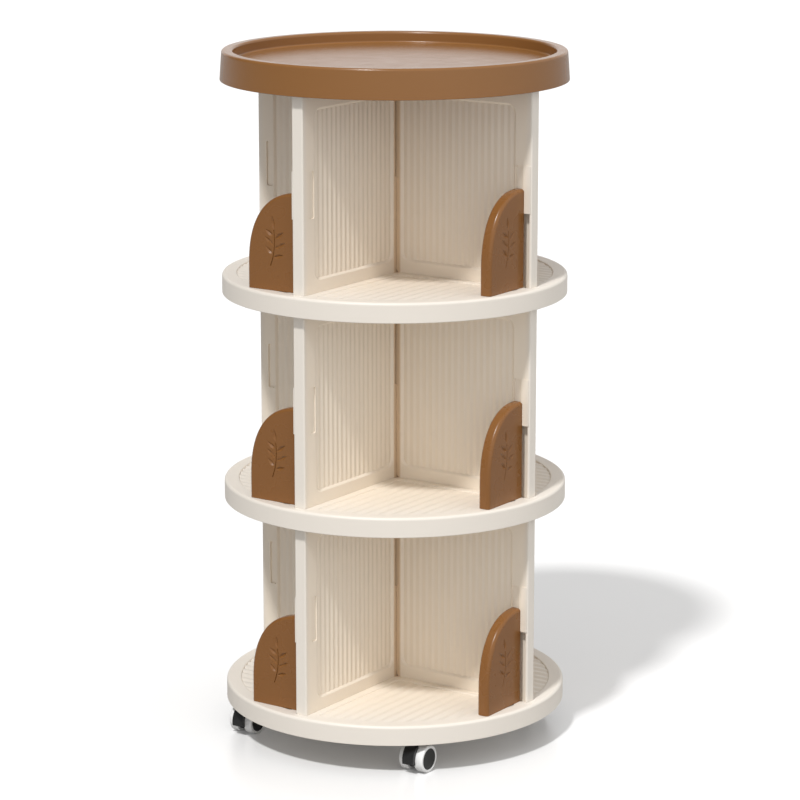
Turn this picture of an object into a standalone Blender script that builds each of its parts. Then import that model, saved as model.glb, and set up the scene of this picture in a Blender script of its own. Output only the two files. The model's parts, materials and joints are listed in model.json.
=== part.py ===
"""Revolving bookcase: three round trays on castors, crossed dividers, end stops and a round top cover.

Metres, +Z up. The origin is on the floor, on the axis that the bookcase turns about.
The dividers lie along X and Y; the front of the bookcase is -Y.
"""

from math import atan2, cos, pi, radians, sin, sqrt, tan

import bmesh
import bpy
from mathutils import Matrix, Vector

# Fits between pieces
GAP = 0.0003
RUN_GAP = 0.0004
LAP_GAP = 0.0026
OVERLAP = 0.0004
CUT_PAST = 0.002

# Round trays
TRAY_RADIUS = 0.225
TRAY_HEIGHT = 0.026
TRAY_DECK = 0.004
TRAY_WALL = 0.0032
RIM_ROUND = 0.004
RIM_BORDER = 0.018
FIELD_SINK = 0.0012
FIELD_MARGIN = 0.0086
FIELD_CORNER = 0.010
RIB = 0.0025
RIB_DROP = 0.009
WEB_INSET = 0.06429
ROUND_STEPS = 32
ARC_STEPS = 6

# Tiers, from the top of a tray to the underside of what stands over it
TIER_CLEAR = 0.2485
COVER_LIFT = 0.0023
SEAT_DEPTH = 0.002
SOCKET_DEPTH = 0.004

# Divider boards
BOARD_THICK = 0.0168
BOARD_INSET = 0.011
BOARD_ROUND = 0.002
PANEL_OUTER_BORDER = 0.024
PANEL_INNER_BORDER = 0.0056
PANEL_EDGE_BORDER = 0.0150
PANEL_CORNER = 0.013
PANEL_SINK = 0.0030
PANEL_SLOPE = 0.0045
FLUTES = 17
FLUTE_HEIGHT = 0.0009
LEAD_IN = 0.003
LEAD_IN_HEIGHT = 0.0055

# Stops at the divider ends
STOP_WIDTH = 0.078
STOP_HEIGHT = 0.126
STOP_THICK = 0.016
STOP_STRAIGHT = 0.030
STOP_INSET = 0.0108
STOP_ROUND = 0.004
STOP_FULLNESS = 2.3
ARCH_STEPS = 7
SLOT_WIDTH = 0.0115
SLOT_HEIGHT = 0.0605
SLOT_ROUND = 0.0025
SLOT_DEPTH = 0.0022
TAB_DEPTH = 0.008
TAB_DROP = 0.006
PAD_RAISE = 0.0005
PAD_EDGE = 0.0010

# Top cover
COVER_OVERHANG = 0.0003
COVER_DRAFT = 0.0028
COVER_HEIGHT = 0.0385
COVER_RIM = 0.0145
COVER_RECESS = 0.0148
COVER_DECK = 0.0035
COVER_WALL = 0.003
COVER_ROUND = 0.0035
COVER_FILLET = 0.0025

# Castors
WHEEL_RADIUS = 0.018
WHEEL_WIDTH = 0.0123
WHEEL_SPACE = 0.0114
WHEEL_STEPS = 16
PIN_STEPS = 8
TYRE_DEPTH = 0.0039
HUB_DISH = 0.0009
AXLE_RADIUS = 0.002
AXLE_COVER = 0.003
TRAIL = 0.011
FENDER_REACH = 0.0055
HOOD_FLANGE = 0.0029
FLANGE_RADIUS = 0.009
FLANGE_LIFT = 0.0006
HOOD_FOOT = 0.009
HOOD_FRONT = 0.007
HOOD_CHAMFER = 0.002
HOOD_STEPS = 4
STEM_RADIUS = 0.003
STEM_LENGTH = 0.018
COLLAR_RADIUS = 0.006
COLLAR = 0.0019
CASTOR_INSET = 0.0323

# Castor base and turntable
SKIRT_CLEAR = 0.0015
BASE_INSET = 0.0095
BASE_DECK = 0.0035
BASE_WALL = 0.0035
BASE_WALL_LIFT = 0.001
BOSS_RADIUS = 0.012
BOSS_STEPS = 12
BASE_RIB = 0.004
RACE_RADIUS = 0.075
RACE_FLANGE = 0.010
RACE_FLOOR = 0.0008
RACE_LIP = 0.001
GROOVE_ANGLE = radians(38)
RACE_STEPS = 32
BALL_RADIUS = 0.0025
BALLS = 8
CAGE_THICK = 0.0012
CAGE_WIDTH = 0.0062
DECK_RIBS = 8
DECK_RIB_LIFT = 0.002
PIVOT_RADIUS = 0.013
PIVOT_WALL = 0.008
PIVOT_LIFT = 0.0036
PIVOT_ROOF = 0.0025
WASHER_RADIUS = 0.0195
WASHER_THICK = 0.0018
SCREW_RADIUS = 0.002
SCREW_HEAD_RADIUS = 0.005
SCREW_HEAD = 0.0016

# Heights that follow from the sizes above
HOOD_TOP = 2 * WHEEL_RADIUS + FLANGE_LIFT + HOOD_FLANGE
TRAY_PITCH = TRAY_HEIGHT + TIER_CLEAR
TRAY_BOTTOMS = {"base": HOOD_TOP + SKIRT_CLEAR}
TRAY_BOTTOMS["middle"] = TRAY_BOTTOMS["base"] + TRAY_PITCH
TRAY_BOTTOMS["upper"] = TRAY_BOTTOMS["middle"] + TRAY_PITCH
COVER_BOTTOM = TRAY_BOTTOMS["upper"] + TRAY_PITCH + COVER_LIFT
DECK_UNDER = TRAY_HEIGHT - TRAY_DECK
BASE_BOTTOM = HOOD_TOP + COLLAR + 2 * GAP
GROOVE_DEPTH = (BALL_RADIUS + RUN_GAP) / cos(GROOVE_ANGLE)
RACE_STACK = GAP + RACE_FLOOR + GROOVE_DEPTH
BALL_HEIGHT = TRAY_BOTTOMS["base"] + DECK_UNDER - RACE_STACK
BASE_TOP = BALL_HEIGHT - RACE_STACK
BASE_UNDER = BASE_TOP - BASE_DECK

# Plan sizes that follow from the sizes above
BOARD_END = TRAY_RADIUS - BOARD_INSET
BOARD_SIDE = BOARD_THICK / 2
BOARD_HEIGHT = SEAT_DEPTH + TIER_CLEAR + SOCKET_DEPTH - 2 * GAP
BOARD_FOOT = GAP - SEAT_DEPTH
STOP_FRONT = BOARD_END - STOP_INSET
STOP_MIDDLE = STOP_FRONT - STOP_THICK / 2
SLOT_FOOT = BOARD_FOOT + (BOARD_HEIGHT - SLOT_HEIGHT) / 2
TAB_FOOT = SLOT_FOOT + SLOT_ROUND
TAB_TOP = STOP_HEIGHT - TAB_DROP
SKIRT_INNER = TRAY_RADIUS - TRAY_WALL
BASE_RADIUS = SKIRT_INNER - BASE_INSET
RACE_OUTER = RACE_RADIUS + RACE_FLANGE
RACE_INNER = RACE_RADIUS - RACE_FLANGE
PIVOT_BORE = PIVOT_RADIUS + 2 * RUN_GAP
CASTOR_CIRCLE = TRAY_RADIUS - CASTOR_INSET
QUARTER_TURNS = {"right": 0.0, "back": pi / 2, "left": pi, "front": -pi / 2}


def clear_scene():
    """Remove everything the file started with."""
    for old in list(bpy.data.objects):
        bpy.data.objects.remove(old)


def plain_material(name, color, roughness, metallic=0.0):
    """One Principled material for a kind of piece."""
    material = bpy.data.materials.new(name)
    material.use_nodes = True
    shader = material.node_tree.nodes["Principled BSDF"]
    shader.inputs["Base Color"].default_value = (*color, 1.0)
    shader.inputs["Roughness"].default_value = roughness
    shader.inputs["Metallic"].default_value = metallic
    return material


def to_object(name, bm):
    """Turn a bmesh into a linked object with outward normals."""
    bmesh.ops.recalc_face_normals(bm, faces=bm.faces)
    mesh = bpy.data.meshes.new(name)
    bm.to_mesh(mesh)
    bm.free()
    made = bpy.data.objects.new(name, mesh)
    bpy.context.collection.objects.link(made)
    return made


def merge_flats(mesh):
    """Join the flat facets that the Booleans leave side by side."""
    bm = bmesh.new()
    bm.from_mesh(mesh)
    bmesh.ops.dissolve_limit(bm, angle_limit=radians(0.02), verts=bm.verts, edges=bm.edges)
    bm.to_mesh(mesh)
    bm.free()


def finish(made, material, parent=None, location=(0.0, 0.0, 0.0), turn=0.0):
    """Give a piece its material, shading, parent and place."""
    merge_flats(made.data)
    made.data.materials.clear()
    made.data.materials.append(material)
    made.data.shade_smooth()
    made.data.set_sharp_from_angle(angle=radians(35))
    made.parent = parent
    made.location = location
    made.rotation_euler = (0.0, 0.0, turn)
    return made


def repeat(name, made, material, parent, location, turn=0.0):
    """Place another object that shares a finished mesh."""
    copy = bpy.data.objects.new(name, made.data)
    bpy.context.collection.objects.link(copy)
    return finish(copy, material, parent, location, turn)


def pivot(name, location, parent=None):
    """An empty on a joint's axis that carries the pieces which turn about it."""
    empty = bpy.data.objects.new(name, None)
    bpy.context.collection.objects.link(empty)
    empty.location = location
    empty.parent = parent
    return empty


def combine(target, tool, operation):
    """Apply one Boolean to the target's mesh and drop the tool."""
    modifier = target.modifiers.new("Combine", "BOOLEAN")
    modifier.operation = operation
    modifier.solver = "EXACT"
    modifier.object = tool
    graph = bpy.context.evaluated_depsgraph_get()
    mesh = bpy.data.meshes.new_from_object(target.evaluated_get(graph))
    target.modifiers.clear()
    target.data = mesh
    bpy.data.objects.remove(tool)
    return target


def turned(name, profile, steps, half_step=False):
    """Spin a profile of (radius, height) points about Z; ends on the axis close the body."""
    bm = bmesh.new()
    points = [bm.verts.new((radius, 0.0, height)) for radius, height in profile]
    edges = [bm.edges.new(pair) for pair in zip(points, points[1:])]
    if profile[0][0] > 0.0:
        edges.append(bm.edges.new((points[-1], points[0])))
    bmesh.ops.spin(bm, geom=points + edges, axis=(0, 0, 1), cent=(0, 0, 0), angle=2 * pi, steps=steps,
                   use_merge=True)
    bmesh.ops.remove_doubles(bm, verts=bm.verts, dist=1e-6)
    bmesh.ops.dissolve_degenerate(bm, edges=bm.edges, dist=1e-6)
    if half_step:
        bmesh.ops.rotate(bm, verts=bm.verts, matrix=Matrix.Rotation(pi / steps, 3, "Z"))
    return to_object(name, bm)


def raised_outline(bm, outline, low, high):
    """Extrude a flat outline of (x, y) points from one height to another."""
    face = bm.faces.new([bm.verts.new((x, y, low)) for x, y in outline])
    raised = bmesh.ops.extrude_face_region(bm, geom=[face])["geom"]
    tops = [part for part in raised if isinstance(part, bmesh.types.BMVert)]
    bmesh.ops.translate(bm, verts=tops, vec=(0, 0, high - low))
    return list(face.verts) + tops


def prism(name, outline, low, high):
    """One extruded outline as an object."""
    bm = bmesh.new()
    raised_outline(bm, outline, low, high)
    return to_object(name, bm)


def rectangle(x_low, x_high, y_low, y_high):
    """Corner points of a rectangle."""
    return [(x_low, y_low), (x_high, y_low), (x_high, y_high), (x_low, y_high)]


def plus_outline(reach, half):
    """A plus sign with arms of the given reach and half width."""
    arm = [(half, half), (half, reach), (-half, reach)]
    corners = []
    for quarter in range(4):
        corners += turned_outline(arm, quarter * pi / 2)
    return corners


def arc(radius, start, sweep, steps):
    """Points along an arc about the origin, both ends included."""
    angles = [start + sweep * step / steps for step in range(steps + 1)]
    return [(radius * cos(angle), radius * sin(angle)) for angle in angles]


def cylinders(name, places, radius, low, high, steps):
    """Upright cylinders at several places in one object."""
    bm = bmesh.new()
    for x, y in places:
        circle = arc(radius, 0.0, 2 * pi, steps)[:-1]
        raised_outline(bm, [(x + across, y + along) for across, along in circle], low, high)
    return to_object(name, bm)


def turned_outline(outline, angle):
    """The points of an outline turned about the origin."""
    turn = Matrix.Rotation(angle, 2)
    return [tuple(turn @ Vector(point)) for point in outline]


def sunken_fields():
    """Cutter for the four shallow quarter fields of a tray deck."""
    start = BOARD_SIDE + FIELD_MARGIN
    outer = TRAY_RADIUS - RIM_BORDER
    reach = sqrt(outer ** 2 - start ** 2)
    first = atan2(start, reach)
    outline = [(start, start)] + arc(outer, first, pi / 2 - 2 * first, ARC_STEPS)
    bm = bmesh.new()
    raised_outline(bm, outline, TRAY_HEIGHT - FIELD_SINK, TRAY_HEIGHT + CUT_PAST)
    corners = [(start, start), outline[1], outline[-1]]
    uprights = [edge for edge in bm.edges if abs(edge.verts[0].co.z - edge.verts[1].co.z) > FIELD_SINK
                and any((edge.verts[0].co.xy - Vector(corner)).length < 1e-6 for corner in corners)]
    bmesh.ops.bevel(bm, geom=uprights, offset=FIELD_CORNER, segments=2, profile=0.5, affect="EDGES")
    quarter = bm.verts[:] + bm.edges[:] + bm.faces[:]
    for turn in range(1, 4):
        copy = bmesh.ops.duplicate(bm, geom=quarter)["geom"]
        verts = [part for part in copy if isinstance(part, bmesh.types.BMVert)]
        bmesh.ops.rotate(bm, verts=verts, cent=(0, 0, 0), matrix=Matrix.Rotation(turn * pi / 2, 3, "Z"))
    return to_object("field_cutter", bm)


def seat_cross(deck_top):
    """Cutter for the crossed seat that the divider boards stand in."""
    outline = plus_outline(BOARD_END + GAP, BOARD_SIDE + GAP)
    return prism("seat_cutter", outline, deck_top - SEAT_DEPTH, deck_top + CUT_PAST)


def add_sockets(shell, deck_under, inner_radius, depth):
    """Hang the crossed socket ribs under a deck: they take the tops of the divider boards."""
    channel = BOARD_SIDE + GAP
    reach = BOARD_END + GAP
    top = deck_under + OVERLAP
    diagonals = turned_outline(plus_outline(inner_radius + OVERLAP, RIB / 2), pi / 4)
    combine(shell, prism("diagonal_ribs", diagonals, RIB_DROP, top), "UNION")
    combine(shell, prism("socket", plus_outline(reach + RIB, channel + RIB), 0.0, top), "UNION")
    hollow = prism("channel_cutter", plus_outline(reach, channel), -CUT_PAST, deck_under - OVERLAP)
    combine(shell, hollow, "DIFFERENCE")
    middle = reach - WEB_INSET
    web = rectangle(middle - RIB / 2, middle + RIB / 2, -channel - RIB / 2, channel + RIB / 2)
    bm = bmesh.new()
    for quarter in range(4):
        raised_outline(bm, turned_outline(web, quarter * pi / 2), depth, deck_under - OVERLAP / 2)
    combine(shell, to_object("socket_webs", bm), "UNION")


def tray_rim():
    """Outer side of a tray's profile, from the deck's edge down to the skirt's inner corner."""
    slant = RIM_ROUND * (1 - sqrt(0.5))
    return [(TRAY_RADIUS - RIM_ROUND, TRAY_HEIGHT), (TRAY_RADIUS - slant, TRAY_HEIGHT - slant),
            (TRAY_RADIUS, TRAY_HEIGHT - RIM_ROUND), (TRAY_RADIUS, 0.0), (SKIRT_INNER, 0.0),
            (SKIRT_INNER, DECK_UNDER)]


def upper_trays(material, carousel):
    """The two trays that stand on dividers and hold dividers over them."""
    profile = [(0.0, TRAY_HEIGHT)] + tray_rim() + [(0.0, DECK_UNDER)]
    tray = turned("upper_tray", profile, ROUND_STEPS)
    add_sockets(tray, DECK_UNDER, SKIRT_INNER, SOCKET_DEPTH)
    combine(tray, sunken_fields(), "DIFFERENCE")
    combine(tray, seat_cross(TRAY_HEIGHT), "DIFFERENCE")
    finish(tray, material, carousel, (0, 0, TRAY_BOTTOMS["upper"]))
    repeat("middle_tray", tray, material, carousel, (0, 0, TRAY_BOTTOMS["middle"]))


def base_tray(material, carousel):
    """The lowest tray: its boss turns in the castor base and its deck sits on the turntable."""
    low = TRAY_BOTTOMS["base"]
    boss_end = BASE_BOTTOM + PIVOT_LIFT - RUN_GAP - low
    hole = SCREW_RADIUS + GAP
    hole_top = DECK_UNDER - PIVOT_ROOF
    boss = [(PIVOT_RADIUS, DECK_UNDER), (PIVOT_RADIUS, boss_end), (hole, boss_end), (hole, hole_top),
            (0.0, hole_top)]
    tray = turned("base_tray", [(0.0, TRAY_HEIGHT)] + tray_rim() + boss, ROUND_STEPS)
    bm = bmesh.new()
    rib_low = BASE_TOP + DECK_RIB_LIFT - low
    bar = rectangle(RACE_OUTER + 2 * RIB, SKIRT_INNER + OVERLAP, -RIB / 2, RIB / 2)
    for spoke in range(DECK_RIBS):
        outline = turned_outline(bar, (spoke + 0.5) * 2 * pi / DECK_RIBS)
        raised_outline(bm, outline, rib_low, DECK_UNDER + OVERLAP)
    combine(tray, to_object("deck_ribs", bm), "UNION")
    combine(tray, sunken_fields(), "DIFFERENCE")
    combine(tray, seat_cross(TRAY_HEIGHT), "DIFFERENCE")
    finish(tray, material, carousel, (0, 0, low))


def top_cover(material, carousel):
    """Round cap with a raised rim, a recessed top and sockets underneath."""
    foot = TRAY_RADIUS + COVER_OVERHANG
    crown = foot - COVER_DRAFT
    slant = COVER_ROUND * (1 - sqrt(0.5))
    inner = crown - COVER_RIM
    floor = COVER_HEIGHT - COVER_RECESS
    under = floor - COVER_DECK
    draft = COVER_WALL * COVER_DRAFT / COVER_HEIGHT
    profile = [(0.0, floor), (inner - COVER_FILLET, floor), (inner, floor + COVER_FILLET),
               (inner, COVER_HEIGHT - COVER_ROUND), (inner + COVER_ROUND, COVER_HEIGHT),
               (crown - COVER_ROUND, COVER_HEIGHT), (crown - slant, COVER_HEIGHT - slant),
               (crown, COVER_HEIGHT - COVER_ROUND), (foot, 0.0), (foot - COVER_WALL, 0.0),
               (crown - COVER_WALL - draft, COVER_HEIGHT - COVER_WALL),
               (inner + COVER_WALL, COVER_HEIGHT - COVER_WALL), (inner + COVER_WALL, under), (0.0, under)]
    cover = turned("top_cover", profile, ROUND_STEPS)
    add_sockets(cover, under, inner + COVER_WALL / 2, SOCKET_DEPTH - COVER_LIFT)
    finish(cover, material, carousel, (0, 0, COVER_BOTTOM))


def stood_up(made, outward):
    """Turn a piece drawn flat (x along the board, y up) to stand with its top face toward -Y."""
    made.data.transform(Matrix.Translation((0, -outward, 0)) @ Matrix.Rotation(pi / 2, 4, "X"))
    return made


def copies(made, places):
    """Join moved copies of a cutter or a pad into that object."""
    bm = bmesh.new()
    for place in places:
        moved = made.data.copy()
        moved.transform(place)
        bm.from_mesh(moved)
        bpy.data.meshes.remove(moved)
    bm.to_mesh(made.data)
    bm.free()
    return made


def rounded_block(name, outline, low, high, corner, segments):
    """An extruded rectangle with its upright edges rounded."""
    bm = bmesh.new()
    raised_outline(bm, outline, low, high)
    uprights = [edge for edge in bm.edges if abs(edge.verts[0].co.z - edge.verts[1].co.z) > (high - low) / 2]
    bmesh.ops.bevel(bm, geom=uprights, offset=corner, segments=segments, profile=0.5, affect="EDGES")
    return to_object(name, bm)


def fluted_pockets():
    """Cutter for the four recessed fields of a board: rounded corners, sloped sides and fluted floors."""
    inner = BOARD_SIDE + PANEL_INNER_BORDER
    outer = BOARD_END - PANEL_OUTER_BORDER
    low = PANEL_EDGE_BORDER
    high = TIER_CLEAR - PANEL_EDGE_BORDER
    field = rectangle(inner, outer, low, high)
    pocket = rounded_block("pocket_cutter", field, 0.0, CUT_PAST, PANEL_CORNER, 2)
    bm = bmesh.new()
    bm.from_mesh(pocket.data)
    floor = [min(bm.faces, key=lambda face: face.normal.z)]
    sink = PANEL_SINK + OVERLAP
    bmesh.ops.inset_region(bm, faces=floor, thickness=PANEL_SLOPE, depth=sink)
    bm.to_mesh(pocket.data)
    bm.free()
    stood_up(pocket, BOARD_SIDE)
    valley = PANEL_SINK - BOARD_SIDE
    first = inner + PANEL_SLOPE
    pitch = (outer - inner - 2 * PANEL_SLOPE) / FLUTES
    wave = []
    for flute in range(FLUTES):
        wave += [(first + flute * pitch, valley), (first + (flute + 0.5) * pitch, valley - FLUTE_HEIGHT)]
    far, near = outer + CUT_PAST, inner - CUT_PAST
    past = -2 * BOARD_SIDE
    wave += [(first + FLUTES * pitch, valley), (far, valley), (far, past), (near, past), (near, valley)]
    combine(pocket, prism("flutes", wave, low - CUT_PAST, high + CUT_PAST), "INTERSECT")
    other_wing = Matrix.Translation((-inner - outer, 0, 0))
    other_face = Matrix.Rotation(pi, 4, "Z")
    return copies(pocket, [Matrix(), other_wing, other_face, other_face @ other_wing])


def lap_slit(half, low, high, lead_in):
    """Cutter for the slit where the two boards of a tier cross; the lead-in flares its lower end."""
    flare = half + lead_in
    rise = low + CUT_PAST
    outline = [(-flare, low), (flare, low), (flare, rise), (half, rise + LEAD_IN_HEIGHT), (half, high),
               (-half, high), (-half, rise + LEAD_IN_HEIGHT), (-flare, rise)]
    past = BOARD_SIDE + CUT_PAST
    return stood_up(prism("slit_cutter", outline, -past, past), 0.0)


def board(name, slit):
    """A divider board along X: fluted fields on both faces, end slots, raised pads and a lap slit."""
    whole = rectangle(-BOARD_END, BOARD_END, -BOARD_SIDE, BOARD_SIDE)
    made = rounded_block(name, whole, BOARD_FOOT, BOARD_FOOT + BOARD_HEIGHT, BOARD_ROUND, 1)
    combine(made, fluted_pockets(), "DIFFERENCE")
    half_turn = Matrix.Rotation(pi, 4, "Z")
    past = BOARD_SIDE + CUT_PAST
    slot_top = SLOT_FOOT + SLOT_HEIGHT
    opening = rectangle(STOP_MIDDLE - SLOT_WIDTH / 2, STOP_MIDDLE + SLOT_WIDTH / 2, SLOT_FOOT, slot_top)
    slot_floor = BOARD_SIDE - SLOT_DEPTH
    slot = stood_up(rounded_block("slot_cutter", opening, slot_floor, past, SLOT_ROUND, 1), 0.0)
    other_face = Matrix.Translation((2 * STOP_MIDDLE, 0, 0)) @ half_turn
    combine(made, copies(slot, [Matrix(), other_face, half_turn, half_turn @ other_face]), "DIFFERENCE")
    tab_room = rectangle(STOP_MIDDLE - SLOT_WIDTH / 2, STOP_MIDDLE + SLOT_WIDTH / 2, TAB_FOOT - GAP, TAB_TOP + GAP)
    room = stood_up(prism("tab_room_cutter", tab_room, BOARD_SIDE - TAB_DEPTH, past), 0.0)
    combine(made, copies(room, [Matrix(), half_turn]), "DIFFERENCE")
    landing = rectangle(STOP_FRONT + GAP, BOARD_END - PAD_EDGE, SLOT_FOOT, slot_top)
    pad = stood_up(prism("pad", landing, -OVERLAP, PAD_RAISE), BOARD_SIDE)
    combine(made, copies(pad, [Matrix(), half_turn]), "UNION")
    combine(made, slit, "DIFFERENCE")
    return made


def dividers(material, carousel):
    """Two crossed boards in each tier, halved into each other."""
    middle = BOARD_FOOT + BOARD_HEIGHT / 2
    low = BOARD_FOOT - CUT_PAST
    high = BOARD_FOOT + BOARD_HEIGHT + CUT_PAST
    crosswise = board("crosswise", lap_slit(BOARD_SIDE + GAP, low, middle + GAP / 2, LEAD_IN))
    lengthwise = board("lengthwise", lap_slit(BOARD_SIDE + LAP_GAP, middle - GAP / 2, high, 0.0))
    for tier, bottom in TRAY_BOTTOMS.items():
        place = (0, 0, bottom + TRAY_HEIGHT)
        repeat(tier + "_crosswise_divider", crosswise, material, carousel, place)
        repeat(tier + "_lengthwise_divider", lengthwise, material, carousel, place, QUARTER_TURNS["front"])
    bpy.data.objects.remove(crosswise)
    bpy.data.objects.remove(lengthwise)


def sideways(made):
    """Turn a piece drawn as (y, z, x) to its place as (x, y, z)."""
    made.data.transform(Matrix(((0, 0, 1, 0), (1, 0, 0, 0), (0, 1, 0, 0), (0, 0, 0, 1))))
    return made


def arched_stop():
    """One stop: straight foot, full arch toward the board, softened edges and a tab for the board's slot."""
    side = -BOARD_SIDE - GAP
    rise = STOP_HEIGHT - STOP_STRAIGHT - GAP
    outline = [(side, GAP), (side, STOP_HEIGHT)]
    for step in range(1, ARCH_STEPS + 1):
        angle = step * pi / 2 / ARCH_STEPS
        across = STOP_WIDTH * sin(angle) ** (2 / STOP_FULLNESS)
        up = rise * max(0.0, cos(angle)) ** (2 / STOP_FULLNESS)
        outline.append((side - across, STOP_STRAIGHT + GAP + up))
    outline.append((side - STOP_WIDTH, GAP))
    bm = bmesh.new()
    raised_outline(bm, outline, STOP_FRONT - STOP_THICK, STOP_FRONT)
    soft = []
    for edge in bm.edges:
        first, last = (vert.co for vert in edge.verts)
        flat = abs(first.z - last.z) < STOP_THICK / 2
        at_board = max(first.x, last.x) - side > -1e-6 and abs(first.x - last.x) < 1e-6
        at_foot = max(first.y, last.y) < GAP + 1e-6
        if flat and not at_board and not at_foot:
            soft.append(edge)
    bmesh.ops.bevel(bm, geom=soft, offset=STOP_ROUND, segments=1, profile=0.5, affect="EDGES")
    stop = sideways(to_object("stop", bm))
    tab_half = SLOT_WIDTH / 2 - GAP
    section = rectangle(side - STOP_ROUND, side + TAB_DEPTH, TAB_FOOT, TAB_TOP)
    tab = sideways(prism("tab", section, STOP_MIDDLE - tab_half, STOP_MIDDLE + tab_half))
    return combine(stop, tab, "UNION")


def stops(material, carousel):
    """Four stops in each tier, one on each divider end."""
    stop = arched_stop()
    for tier, bottom in TRAY_BOTTOMS.items():
        for side, turn in QUARTER_TURNS.items():
            name = tier + "_" + side + "_stop"
            repeat(name, stop, material, carousel, (0, 0, bottom + TRAY_HEIGHT), turn)
    bpy.data.objects.remove(stop)


def castor_places():
    """Name and plan position of each castor's stem."""
    reach = CASTOR_CIRCLE * sqrt(0.5)
    return {"front_right": (reach, -reach), "back_right": (reach, reach), "back_left": (-reach, reach),
            "front_left": (-reach, -reach)}


def castor_base(material):
    """Round base under the lowest tray: deck, rim wall, castor bosses, ribs and the pivot bore."""
    wall = BASE_RADIUS - BASE_WALL
    boss = PIVOT_BORE + PIVOT_WALL
    boss_low = BASE_BOTTOM + PIVOT_LIFT
    wall_low = BASE_BOTTOM + BASE_WALL_LIFT
    profile = [(PIVOT_BORE, BASE_TOP), (BASE_RADIUS, BASE_TOP), (BASE_RADIUS, wall_low), (wall, wall_low),
               (wall, BASE_UNDER), (boss, BASE_UNDER), (boss, boss_low), (PIVOT_BORE, boss_low)]
    made = turned("castor_base", profile, ROUND_STEPS)
    places = list(castor_places().values())
    top = BASE_UNDER + OVERLAP
    combine(made, cylinders("bosses", places, BOSS_RADIUS, BASE_BOTTOM, top, BOSS_STEPS), "UNION")
    bm = bmesh.new()
    bar = rectangle(boss - OVERLAP, CASTOR_CIRCLE - BOSS_RADIUS + 2 * OVERLAP, -BASE_RIB / 2, BASE_RIB / 2)
    for quarter in range(4):
        raised_outline(bm, turned_outline(bar, (quarter + 0.5) * pi / 2), boss_low + OVERLAP, top)
    combine(made, to_object("base_ribs", bm), "UNION")
    bore_low = BASE_BOTTOM - CUT_PAST
    bore_top = BASE_TOP - BASE_DECK / 2
    bores = cylinders("stem_bores", places, STEM_RADIUS + GAP, bore_low, bore_top, PIN_STEPS)
    combine(made, bores, "DIFFERENCE")
    finish(made, material)


def turntable(steel, cage_material, carousel):
    """Ball turntable between the castor base and the lowest tray."""
    rim = (GROOVE_DEPTH - RACE_LIP) / tan(GROOVE_ANGLE)
    bed = RACE_FLOOR + GROOVE_DEPTH
    profile = [(RACE_INNER, -bed), (RACE_OUTER, -bed), (RACE_RADIUS + rim, -RACE_LIP),
               (RACE_RADIUS, -GROOVE_DEPTH), (RACE_RADIUS - rim, -RACE_LIP)]
    lower = turned("turntable_lower_race", profile, RACE_STEPS)
    upper = turned("turntable_upper_race", [(radius, -height) for radius, height in profile], RACE_STEPS)
    finish(lower, steel, None, (0, 0, BALL_HEIGHT))
    finish(upper, steel, carousel, (0, 0, BALL_HEIGHT))
    half = CAGE_THICK / 2
    inner = RACE_RADIUS - CAGE_WIDTH / 2
    outer = RACE_RADIUS + CAGE_WIDTH / 2
    cage = turned("ball_ring", [(inner, half), (outer, half), (outer, -half), (inner, -half)], 2 * BALLS)
    bm = bmesh.new()
    for ball in range(BALLS):
        angle = 2 * pi * ball / BALLS
        place = Matrix.Translation((RACE_RADIUS * cos(angle), RACE_RADIUS * sin(angle), 0.0))
        bmesh.ops.create_uvsphere(bm, u_segments=4, v_segments=4, radius=BALL_RADIUS, matrix=place)
    combine(cage, to_object("balls", bm), "UNION")
    finish(cage, cage_material, None, (0, 0, BALL_HEIGHT))


def pivot_fixing(steel, carousel):
    """Washer and screw that keep the lowest tray's boss in the castor base."""
    washer_top = BASE_BOTTOM + PIVOT_LIFT - RUN_GAP - GAP
    washer_low = washer_top - WASHER_THICK
    hole = SCREW_RADIUS + GAP
    ring = [(hole, washer_top), (WASHER_RADIUS, washer_top), (WASHER_RADIUS, washer_low), (hole, washer_low)]
    finish(turned("retaining_washer", ring, WHEEL_STEPS), steel, carousel)
    seat = washer_low - GAP
    tip = TRAY_BOTTOMS["base"] + DECK_UNDER - PIVOT_ROOF - RUN_GAP
    bevel = SCREW_HEAD / 2
    low = seat - SCREW_HEAD
    shape = [(0.0, tip), (SCREW_RADIUS, tip), (SCREW_RADIUS, seat), (SCREW_HEAD_RADIUS, seat),
             (SCREW_HEAD_RADIUS, low + bevel), (SCREW_HEAD_RADIUS - bevel, low), (0.0, low)]
    finish(turned("pivot_screw", shape, PIN_STEPS), steel, carousel)


def castor_stem():
    """Steel stem with the collar that carries the base on the hood."""
    low = HOOD_TOP - STEM_LENGTH
    collar_low = HOOD_TOP + GAP
    collar_top = BASE_BOTTOM - GAP
    top = BASE_TOP - BASE_DECK / 2 - GAP
    profile = [(0.0, top), (STEM_RADIUS, top), (STEM_RADIUS, collar_top), (COLLAR_RADIUS, collar_top),
               (COLLAR_RADIUS, collar_low), (STEM_RADIUS, collar_low), (STEM_RADIUS, low), (0.0, low)]
    return turned("stem", profile, PIN_STEPS)


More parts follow.
